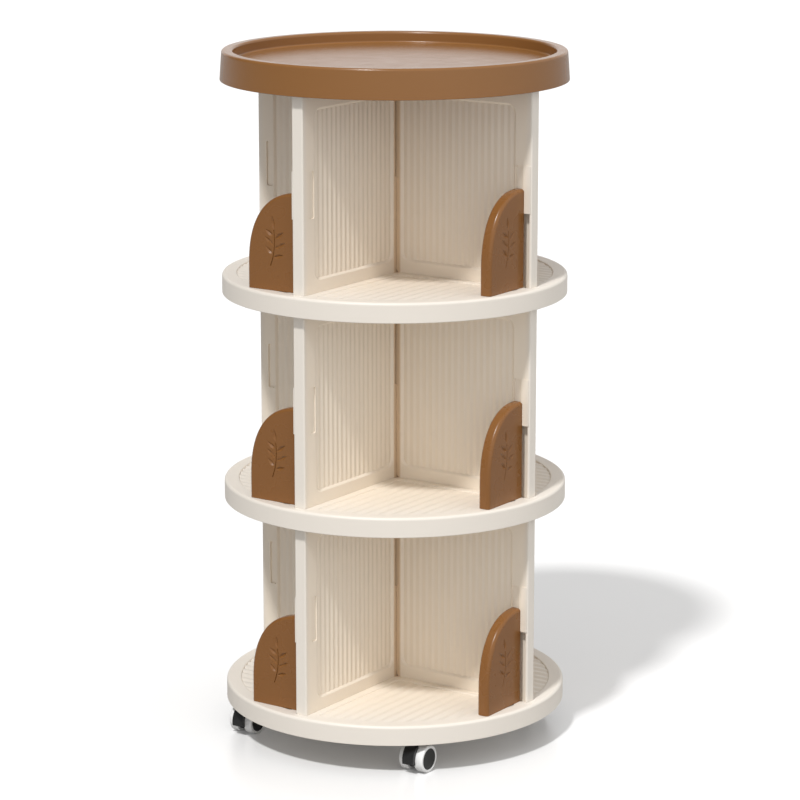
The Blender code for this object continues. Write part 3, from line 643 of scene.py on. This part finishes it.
def add_sockets(size, shell, deck_under, inner_radius, depth):
    """Hang the crossed channels and diagonal webs under a deck."""
    channel = size.board_thick / 2 + GAP
    reach = size.board_end + GAP
    top = deck_under + OVERLAP
    diagonals = turned_outline(plus_outline(inner_radius + OVERLAP, size.web / 2), pi / 4)
    join(shell, prism("diagonal_webs", [diagonals], size.web_drop, top))
    walls = plus_outline(reach + size.web, channel + size.web)
    join(shell, prism("socket", [walls], 0.0, top))
    hollow = prism("channel_cutter", [plus_outline(reach, channel)], -PAST, deck_under - OVERLAP)
    cut(shell, hollow)
    middle = reach - size.web_inset
    web = rectangle(middle - size.web / 2, middle + size.web / 2, -channel - size.web / 2, channel + size.web / 2)
    join(shell, prism("socket_webs", all_round(web), depth, deck_under - OVERLAP / 2))


def tray_rim(size):
    """Outer corners of a tray's profile, from the axis over the deck to the skirt's inner corner."""
    inner = size.tray_radius - size.tray_wall
    return [(0.0, TRAY_HEIGHT), (size.tray_radius, TRAY_HEIGHT, size.rim_round),
            (size.tray_radius, 0.0, size.foot_round), (inner, 0.0, size.foot_round),
            (inner, TRAY_HEIGHT - size.tray_deck)]


def cut_deck(size, tray):
    """Sink the waved quarter fields and the crossed seat into a tray's deck."""
    cut(tray, waved_fields(size))
    seat = plus_outline(size.board_end + GAP, size.board_thick / 2 + GAP)
    cut(tray, prism("seat_cutter", [seat], TRAY_HEIGHT - size.seat_depth, TRAY_HEIGHT + PAST))
    return joined_flats(tray)


def upper_tray_pattern(size):
    """A tray that stands on dividers and holds dividers over it."""
    under = TRAY_HEIGHT - size.tray_deck
    tray = turned("tray_pattern", tray_rim(size) + [(0.0, under)], 5, ROUND_STEPS)
    add_sockets(size, tray, under, size.tray_radius - size.tray_wall, size.socket_depth)
    return cut_deck(size, tray)


def base_tray_pattern(size):
    """The lowest tray, with the boss that turns in the castor base and spokes under its deck."""
    under = TRAY_HEIGHT - size.tray_deck
    low = TRAY_LOW["base"]
    pivot, hole = size.pivot_radius, size.screw_hole
    boss_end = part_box("retaining_washer")[1].z + GAP - low
    roof = under - size.pivot_roof
    boss = [(pivot, under), (pivot, boss_end, size.edge_round), (hole, boss_end), (hole, roof), (0.0, roof)]
    tray = turned("base_tray_pattern", tray_rim(size) + boss, 5, ROUND_STEPS)
    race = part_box("turntable_upper_race")[1].x
    half = size.web / 2
    spoke = rectangle(race + 2 * size.web, size.tray_radius - size.tray_wall + OVERLAP, -half, half)
    spokes = [turned_outline(spoke, (turn + 0.5) * pi / 4) for turn in range(8)]
    spoke_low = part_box("castor_base")[1].z + size.spoke_lift - low
    join(tray, prism("deck_spokes", spokes, spoke_low, under + OVERLAP))
    return cut_deck(size, tray)


def cover_pattern(size):
    """Round cap with a raised rim, a recessed top and channels underneath."""
    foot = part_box("top_cover")[1].x
    crown = foot - size.cover_draft
    inner = crown - size.cover_rim
    floor = COVER_HEIGHT - size.cover_recess
    under = floor - size.cover_deck
    ceiling = COVER_HEIGHT - size.cover_wall
    draft = size.cover_wall * size.cover_draft / COVER_HEIGHT
    profile = [(0.0, floor), (inner, floor, size.cover_fillet), (inner, COVER_HEIGHT, size.cover_round),
               (crown, COVER_HEIGHT, size.cover_round), (foot, 0.0, size.edge_round),
               (foot - size.cover_wall, 0.0, size.edge_round), (crown - size.cover_wall - draft, ceiling, 0.001),
               (inner + size.cover_wall, ceiling), (inner + size.cover_wall, under), (0.0, under)]
    cover = turned("cover_pattern", profile, 7, ROUND_STEPS)
    lift = COVER_LOW - TRAY_TOP["upper"] - TIER_CLEAR
    add_sockets(size, cover, under, inner + size.cover_wall / 2, size.socket_depth - lift)
    return joined_flats(cover)


def fluted_pockets(size):
    """Cutter for a board's four recessed fields: rounded corners, soft lips and fluted floors."""
    side = size.board_thick / 2
    inner = side + size.pocket_inner
    outer = size.board_end - size.pocket_outer
    low = size.pocket_edge
    high = TIER_CLEAR - size.pocket_edge
    sink = size.pocket_sink + OVERLAP
    slope = size.pocket_slope
    lip = [(slope * 0.18, sink * 0.05), (slope * 0.22, sink * 0.19), (slope * 0.22, sink * 0.30),
           (slope * 0.20, sink * 0.28), (slope * 0.18, sink * 0.18)]
    outline = rectangle(inner, outer, low, high, size.pocket_corner, 8)
    pocket = stood_up(sunk_cutter("pocket_cutter", outline, 0.0, lip), side)
    valley = size.pocket_sink - side
    first = inner + slope
    pitch = (outer - inner - 2 * slope) / size.flutes
    wave = swells(first, pitch, size.flutes, valley, -size.flute_height, 8)
    far, near = outer + PAST, inner - PAST
    past = -2 * side
    wave += [(far, valley), (far, past), (near, past), (near, valley)]
    combine(pocket, prism("flutes", [wave], low - PAST, high + PAST), "INTERSECT")
    other_wing = moved(-inner - outer)
    other_face = about_z(pi)
    return copies(pocket, [Matrix(), other_wing, other_face, other_face @ other_wing])


def lap_slit(size, half, low, high, lead_in):
    """Cutter for the slit where a tier's two boards cross; the lead-in flares its lower end."""
    flare = half + lead_in
    rise = low + PAST
    neck = rise + size.lead_in_height
    outline = [(-flare, low), (flare, low), (flare, rise), (half, neck), (half, high), (-half, high),
               (-half, neck), (-flare, rise)]
    past = size.board_thick / 2 + PAST
    return stood_up(prism("slit_cutter", [outline], -past, past), 0.0)


def stop_front(size):
    """Distance of a stop's front face from the turning axis."""
    return size.board_end - size.stop_inset


def slot_foot(size):
    """Height of a slot's lower end over the tray."""
    return BOARD_FOOT + (BOARD_HEAD - BOARD_FOOT - size.slot_height) / 2


def tab_span(size):
    """Heights of the lower and upper end of a stop's tab over the tray."""
    return slot_foot(size) + size.slot_round, size.stop_height - size.tab_drop


def board_pattern(size, slit):
    """A divider board along X: fluted pockets on both faces, end slots, raised pads and a lap slit."""
    side = size.board_thick / 2
    whole = rectangle(-size.board_end, size.board_end, -side, side, size.board_round, 4)
    made = prism("board_pattern", [whole], BOARD_FOOT, BOARD_HEAD)
    cut(made, fluted_pockets(size))
    half_turn = about_z(pi)
    foot = slot_foot(size)
    top = foot + size.slot_height
    middle = stop_front(size) - size.stop_thick / 2
    left, right = middle - size.slot_width / 2, middle + size.slot_width / 2
    opening = rectangle(left, right, foot, top, size.slot_round, 5)
    depth = size.slot_depth
    lip = [(depth * 0.10, depth * 0.03), (depth * 0.10, depth * 0.12), (depth * 0.08, depth * 0.85)]
    slot = stood_up(sunk_cutter("slot_cutter", opening, 0.0, lip), side)
    other_face = moved(2 * middle) @ half_turn
    cut(made, copies(slot, [Matrix(), other_face, half_turn, half_turn @ other_face]))
    low, high = tab_span(size)
    room = prism("tab_room_cutter", [rectangle(left, right, low - GAP, high + GAP)], -size.tab_depth, PAST)
    cut(made, copies(stood_up(room, side), [Matrix(), half_turn]))
    rebate = rectangle(left, stop_front(size) + size.rebate_width, BOARD_FOOT - PAST, foot)
    rebates = prism("rebate_cutter", [rebate], -size.rebate_depth, PAST)
    cut(made, copies(stood_up(rebates, side), [Matrix(), half_turn]))
    landing = rectangle(stop_front(size) + GAP, size.board_end - size.pad_edge, foot, top, 0.0012, 3)
    pad = stood_up(prism("pad", [landing], -OVERLAP, size.pad_raise), side)
    join(made, copies(pad, [Matrix(), half_turn]))
    cut(made, slit)
    return joined_flats(made)


def leaf(reach, half, depth):
    """A V-cut leaf along +X from the origin, its cut below height zero."""
    bm = bmesh.new()
    steps = 9
    for step in range(steps + 1):
        along = step / steps
        swell = sin(pi * along ** 0.8) ** 0.9
        spread = half * swell * (1 + PAST / depth)
        for across in (-spread, spread):
            bm.verts.new((reach * along, across, PAST))
        bm.verts.new((reach * along, 0.0, -depth * swell))
    bmesh.ops.remove_doubles(bm, verts=bm.verts, dist=WELD)
    bmesh.ops.convex_hull(bm, input=bm.verts)
    return to_object("leaf_cutter", bm)


def sprig_cutters(size):
    """Cutters for a plain leaf sprig, drawn about its own middle: a bowed stem and leaves in pairs."""
    depth = size.sprig_depth
    bow, stem, half = 0.085, 0.047, 0.0016
    slimness, stalk = 0.17, 0.0016
    sweep = stem / bow
    bm = bmesh.new()
    ring = [(-half, PAST), (0.0, -depth * 0.8), (half, PAST)]
    section = bm.faces.new([bm.verts.new((bow + across, 0.0, up)) for across, up in ring])
    bmesh.ops.spin(bm, geom=[section], axis=UP, cent=(0, 0, 0), angle=sweep, steps=12)
    bmesh.ops.rotate(bm, verts=bm.verts, cent=(0, 0, 0), matrix=Matrix.Rotation(-sweep / 2, 3, "Z"))
    bmesh.ops.translate(bm, verts=bm.verts, vec=(-bow, 0.0, 0.0))
    cutters = [to_object("stem_cutter", bm)]
    for share, lean, reach in LEAVES:
        angle = sweep * share
        root = moved(bow * cos(angle) - bow, bow * sin(angle))
        cutter = leaf(reach, reach * slimness, depth)
        turn = about_z(pi / 2 + angle + lean)
        cutter.data.transform(root @ turn @ moved(stalk))
        cutters.append(cutter)
    return cutters


def stop_pattern(size):
    """One arched stop on the board along +X: soft edges, a leaf sprig and a tab for the board's slot."""
    side = -size.board_thick / 2 - GAP
    front = stop_front(size)
    rise = size.stop_height - size.stop_straight - GAP
    outline = [(side, GAP), (side, size.stop_height)]
    steps = 26
    for step in range(1, steps + 1):
        angle = step * pi / 2 / steps
        across = size.stop_width * sin(angle) ** (2 / size.stop_fullness)
        up = rise * max(0.0, cos(angle)) ** (2 / size.stop_fullness)
        outline.append((side - across, size.stop_straight + GAP + up))
    outline.append((side - size.stop_width, GAP))
    bm = bmesh.new()
    raise_outline(bm, outline, front - size.stop_thick, front)
    soft = []
    for edge in bm.edges:
        first, last = (vert.co for vert in edge.verts)
        flat = abs(first.z - last.z) < size.stop_thick / 2
        at_board = max(first.x, last.x) - side > -WELD and abs(first.x - last.x) < WELD
        at_foot = max(first.y, last.y) < GAP + WELD
        if flat and not at_board and not at_foot:
            soft.append(edge)
    bmesh.ops.bevel(bm, geom=soft, offset=size.stop_round, segments=5, profile=0.5, affect="EDGES", material=-1)
    stop = to_object("stop_pattern", bm)
    across, up, tilt = 0.46, 0.43, -0.12
    place = moved(side - size.stop_width * across, size.stop_height * up, front) @ about_z(tilt)
    for cutter in sprig_cutters(size):
        cutter.data.transform(place)
        cut(stop, cutter)
    sideways(stop)
    tab_half = size.slot_width / 2 - GAP
    middle = front - size.stop_thick / 2
    section = rectangle(side - size.stop_round, side + size.tab_depth, *tab_span(size))
    tab = sideways(prism("tab", [section], middle - tab_half, middle + tab_half))
    join(stop, tab)
    return joined_flats(stop)


def hood_pattern(size, top, trail):
    """Castor body about its stem: stem housing in front, guarded round fender behind and a flange on top."""
    reach = size.wheel_radius + size.fender_reach
    crown = top - OVERLAP
    rise = min(reach, crown - size.wheel_radius)
    start = atan2(rise, sqrt(reach ** 2 - rise ** 2))
    axle = (-trail, size.wheel_radius)
    back = -trail - reach
    foot, front = size.hood_foot, size.hood_front
    toe_round, throat_round = 0.001, 0.002
    outline = [(front, crown)] + arc(axle, reach, pi - start, pi, 14)
    outline += filleted([
        (back, size.wheel_radius), (back, foot, size.hood_heel), (front - trail, foot, toe_round),
        (front, top - size.stem_length - size.stem_radius, throat_round), (front, crown)], 4)[:-1]
    half = size.wheel_space / 2 - OVERLAP
    bm = bmesh.new()
    raise_outline(bm, outline, -half, half)
    rims = [edge for edge in bm.edges if abs(edge.verts[0].co.z - edge.verts[1].co.z) < half]
    bmesh.ops.bevel(bm, geom=rims, offset=size.hood_round, segments=3, profile=0.5, affect="EDGES", material=-1)
    hood = sideways(to_object("hood_pattern", bm))
    high, low = pi - 1.05, pi + 0.28
    guard = arc(axle, reach, high, low, 16) + arc(axle, size.wheel_radius + size.guard_gap, low, high, 16)
    lap = half + size.guard_lap
    join(hood, sideways(prism("guard", [guard], -lap, lap)))
    under = top - size.flange_thick
    flange = [(0.0, top), (size.flange_radius, top, 0.0005), (size.flange_radius, under, size.edge_round),
              (0.0, under)]
    join(hood, turned("flange", flange, 3, 40))
    bore = arc((0.0, 0.0), size.stem_radius + GAP, 0.0, 2 * pi, BORE_STEPS)
    cut(hood, prism("stem_bore", [bore], top - size.stem_length - GAP, top + PAST))
    bore = arc(axle, size.axle_radius + GAP, 0.0, 2 * pi, BORE_STEPS)
    cut(hood, sideways(prism("axle_bore", [bore], -size.wheel_space, size.wheel_space)))
    return joined_flats(hood)


def wheel_patterns(size):
    """Hub disc and tyre of one wheel about its axle, the outer face toward +X."""
    inside = size.wheel_space / 2
    outside = inside + size.wheel_width
    inner = size.wheel_radius - size.tyre_depth
    rim = inner - GAP
    bore = size.axle_radius + GAP
    cap, lip, fine, crisp, shoulder = 0.003, 0.0011, 0.0003, 0.0004, 0.0012
    bore_end = outside - cap
    dish = outside - size.hub_dish
    hub = [(0.0, dish), (rim - 2 * lip, dish + 0.0001, 0.002), (rim - lip, outside - GAP, crisp),
           (rim, outside - GAP, fine), (rim, inside, fine), (bore, inside, fine), (bore, bore_end),
           (0.0, bore_end)]
    tyre = [(inner, outside, crisp), (size.wheel_radius, outside, size.tyre_round),
            (size.wheel_radius, inside, shoulder), (inner, inside, crisp)]
    patterns = [turned("hub_pattern", hub, 4, WHEEL_STEPS),
                turned("tyre_pattern", tyre, 6, WHEEL_STEPS)]
    for pattern in patterns:
        pattern.data.transform(Matrix.Rotation(pi / 2, 4, "Y"))
    return patterns


def drop(*patterns):
    """Remove patterns that have been copied."""
    for pattern in patterns:
        bpy.data.objects.remove(pattern)


class BOOKCASE_OT_trays(bpy.types.Operator):
    """Make the three round trays with waved quarter fields"""

    bl_idname = "bookcase.trays"
    bl_label = "Trays"

    def execute(self, context):
        size = context.scene.bookcase_sizes
        upper = upper_tray_pattern(size)
        base = base_tray_pattern(size)
        for tier in TIERS:
            pattern = base if tier == "base" else upper
            place_piece(tier + "_tray", "moulding", pattern, moved(z=TRAY_LOW[tier]))
        drop(upper, base)
        return {"FINISHED"}


class BOOKCASE_OT_dividers(bpy.types.Operator):
    """Make the crossed divider boards with fluted pockets"""

    bl_idname = "bookcase.dividers"
    bl_label = "Dividers"

    def execute(self, context):
        size = context.scene.bookcase_sizes
        half = size.board_thick / 2
        middle = (BOARD_FOOT + BOARD_HEAD) / 2
        low = lap_slit(size, half + GAP, BOARD_FOOT - PAST, middle + GAP / 2, size.lead_in)
        crosswise = board_pattern(size, low)
        high = lap_slit(size, half + size.lap_gap, middle - GAP / 2, BOARD_HEAD + PAST, 0.0)
        lengthwise = board_pattern(size, high)
        for tier in TIERS:
            for kind, pattern, side in (("crosswise", crosswise, "right"), ("lengthwise", lengthwise, "front")):
                node = tier + "_" + kind + "_divider"
                place = moved(z=TRAY_TOP[tier]) @ about_z(SIDES[side])
                place_piece(node, "board", pattern, place, look="cream_board")
        drop(crosswise, lengthwise)
        return {"FINISHED"}


class BOOKCASE_OT_stops(bpy.types.Operator):
    """Make the arched stops at the divider ends"""

    bl_idname = "bookcase.stops"
    bl_label = "Stops"

    def execute(self, context):
        stop = stop_pattern(context.scene.bookcase_sizes)
        for tier in TIERS:
            for side, turn in SIDES.items():
                place = moved(z=TRAY_TOP[tier]) @ about_z(turn)
                place_piece(tier + "_" + side + "_stop", "arch", stop, place)
        drop(stop)
        return {"FINISHED"}


class BOOKCASE_OT_cover(bpy.types.Operator):
    """Make the round top cover"""

    bl_idname = "bookcase.cover"
    bl_label = "Top cover"

    def execute(self, context):
        cover = cover_pattern(context.scene.bookcase_sizes)
        place_piece("top_cover", "cap", cover, moved(z=COVER_LOW))
        drop(cover)
        return {"FINISHED"}


class BOOKCASE_OT_castors(bpy.types.Operator):
    """Make the hoods, hub discs and tyres of the castors"""

    bl_idname = "bookcase.castors"
    bl_label = "Castors"

    def execute(self, context):
        size = context.scene.bookcase_sizes
        stem = JOINT_PLACES["front_right_swivel_turn"]
        axle = JOINT_PLACES["front_right_right_wheel_roll"]
        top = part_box("front_right_castor_hood")[1].z
        hood = hood_pattern(size, top, stem.y - axle.y)
        hub, tyre = wheel_patterns(size)
        for castor in CASTORS:
            stem = JOINT_PLACES[castor + "_swivel_turn"]
            place = moved(stem.x, stem.y)
            place_piece(castor + "_castor_hood", "body", hood, place, castor + "_swivel")
            for side, turn in (("right", 0.0), ("left", pi)):
                axle = JOINT_PLACES[castor + "_" + side + "_wheel_roll"]
                place = moved(stem.x, axle.y, axle.z) @ about_z(turn)
                body = castor + "_" + side + "_roller"
                node = castor + "_castor_" + side
                place_piece(node + "_wheel", "disc", hub, place, body)
                place_piece(node + "_tyre", "ring", tyre, place, body)
        drop(hood, hub, tyre)
        return {"FINISHED"}


class BOOKCASE_OT_hidden_parts(bpy.types.Operator):
    """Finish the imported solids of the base, turntable, stems and axles"""

    bl_idname = "bookcase.hidden_parts"
    bl_label = "Base and turntable"

    def execute(self, context):
        for name, node in frame["nodes"].items():
            if not node.hide_render:
                node.data.materials.clear()
                node.data.materials.append(finish(SLOTS[name]))
        return {"FINISHED"}


class BOOKCASE_OT_studio(bpy.types.Operator):
    """Make the floor, the light and the camera"""

    bl_idname = "bookcase.studio"
    bl_label = "Studio"

    def execute(self, context):
        scene = context.scene
        studio = scene.bookcase_studio
        scene.view_settings.view_transform = "Standard"
        self.make_floor(scene, studio)
        self.make_light(scene, studio)
        self.make_camera(scene, studio)
        return {"FINISHED"}

    def make_floor(self, scene, studio):
        """A wide pale floor that keeps the shadow; the light it throws back is held down."""
        bm = bmesh.new()
        bmesh.ops.create_grid(bm, x_segments=8, y_segments=8, size=FLOOR_HALF)
        floor = to_object("studio_floor", bm)
        material, nodes, place = new_material("bookcase_floor")
        tint = scene.bookcase_colours.floor
        base = nodes.mottled(nodes.noise(place, 3.0), tint, 0.015)
        gloss = nodes.add("BsdfPrincipled", {"Base Color": base, "Roughness": 0.25})
        glow = nodes.add("Emission", {"Strength": studio.floor_glow})
        shown = nodes.add("AddShader", {0: gloss, 1: glow})
        bounce = nodes.add("BsdfDiffuse", {"Color": shade(tint, studio.floor_bounce)})
        seen = nodes.add("LightPath", output="Is Camera Ray")
        both = nodes.add("MixShader", {0: seen, 1: bounce, 2: shown})
        nodes.add("OutputMaterial", {"Surface": both})
        floor.data.materials.append(material)

    def make_light(self, scene, studio):
        """One soft key light, and a soft fill that leans to one side, from a world that looks white."""
        lamp = bpy.data.lights.new("key_light", "SUN")
        lamp.energy = studio.key_strength
        lamp.angle = studio.key_spread
        key = linked("key_light", lamp)
        toward = heading(studio.key_azimuth, studio.key_elevation)
        key.location = toward * KEY_DISTANCE
        key.rotation_euler = toward.to_track_quat("Z", "Y").to_euler()
        world = bpy.data.worlds.new("studio_world")
        nodes = Nodes(world)
        way = nodes.add("TexCoord", output="Generated")
        mean, lean = studio.fill_strength, studio.fill_lean
        dim, bright, white = (nodes.add("Background", {"Color": (1.0, 1.0, 1.0, 1.0), "Strength": strength})
                              for strength in (mean * (1 - lean), mean * (1 + lean), 1.0))
        side = nodes.dot(way, heading(studio.fill_azimuth)) * 0.5 + 0.5
        fill = nodes.add("MixShader", {0: side, 1: dim, 2: bright})
        backdrop = nodes.dot(way, -heading(studio.camera_azimuth))
        steep, edge = 5.0, 0.75
        behind = nodes.add("Clamp", {"Value": backdrop * steep - steep * edge})
        camera, glossy, clear = (nodes.add("LightPath", output=name) for name in (
            "Is Camera Ray", "Is Glossy Ray", "Is Transmission Ray"))
        both = nodes.add("MixShader", {0: camera + clear + glossy * behind, 1: fill, 2: white})
        nodes.add("OutputWorld", {"Surface": both})
        scene.world = world

    def make_camera(self, scene, studio):
        """The photograph's viewing angle."""
        view = bpy.data.cameras.new("camera")
        view.sensor_width = 36.0
        view.lens = studio.camera_lens
        view.clip_start = 0.1
        view.clip_end = 200.0
        camera = linked("camera", view)
        angle = studio.camera_azimuth
        camera.location = heading(angle) * studio.camera_distance + UP * studio.camera_height
        camera.rotation_euler = (pi / 2 - studio.camera_pitch, 0.0, angle - studio.camera_turn)
        scene.camera = camera


STEPS = (BOOKCASE_OT_trays, BOOKCASE_OT_dividers, BOOKCASE_OT_stops, BOOKCASE_OT_cover, BOOKCASE_OT_castors,
         BOOKCASE_OT_hidden_parts, BOOKCASE_OT_studio)


class BOOKCASE_PT_panel(bpy.types.Panel):
    """The steps, sizes, colours and studio settings in the sidebar"""

    bl_idname = "BOOKCASE_PT_panel"
    bl_label = "Revolving bookcase"
    bl_space_type = "VIEW_3D"
    bl_region_type = "UI"
    bl_category = "Bookcase"

    def draw(self, context):
        layout = self.layout
        for step in STEPS:
            layout.operator(step.bl_idname)
        for name, group in GROUPS.items():
            for setting in group.__annotations__:
                layout.prop(getattr(context.scene, name), setting)


GROUPS = {"bookcase_sizes": BookcaseSizes, "bookcase_colours": BookcaseColours, "bookcase_studio": BookcaseStudio}
CLASSES = tuple(GROUPS.values()) + STEPS + (BOOKCASE_PT_panel,)


def register():
    """Register the classes and attach the settings to the scene."""
    for part in CLASSES:
        bpy.utils.register_class(part)
    for name, group in GROUPS.items():
        setattr(bpy.types.Scene, name, PointerProperty(type=group))


def unregister():
    """Undo register."""
    for name in GROUPS:
        delattr(bpy.types.Scene, name)
    for part in reversed(CLASSES):
        bpy.utils.unregister_class(part)


def main():
    """Make every piece and the studio."""
    register()
    for step in STEPS:
        getattr(bpy.ops.bookcase, step.bl_idname.split(".")[1])()


if __name__ == "__main__":
    main()
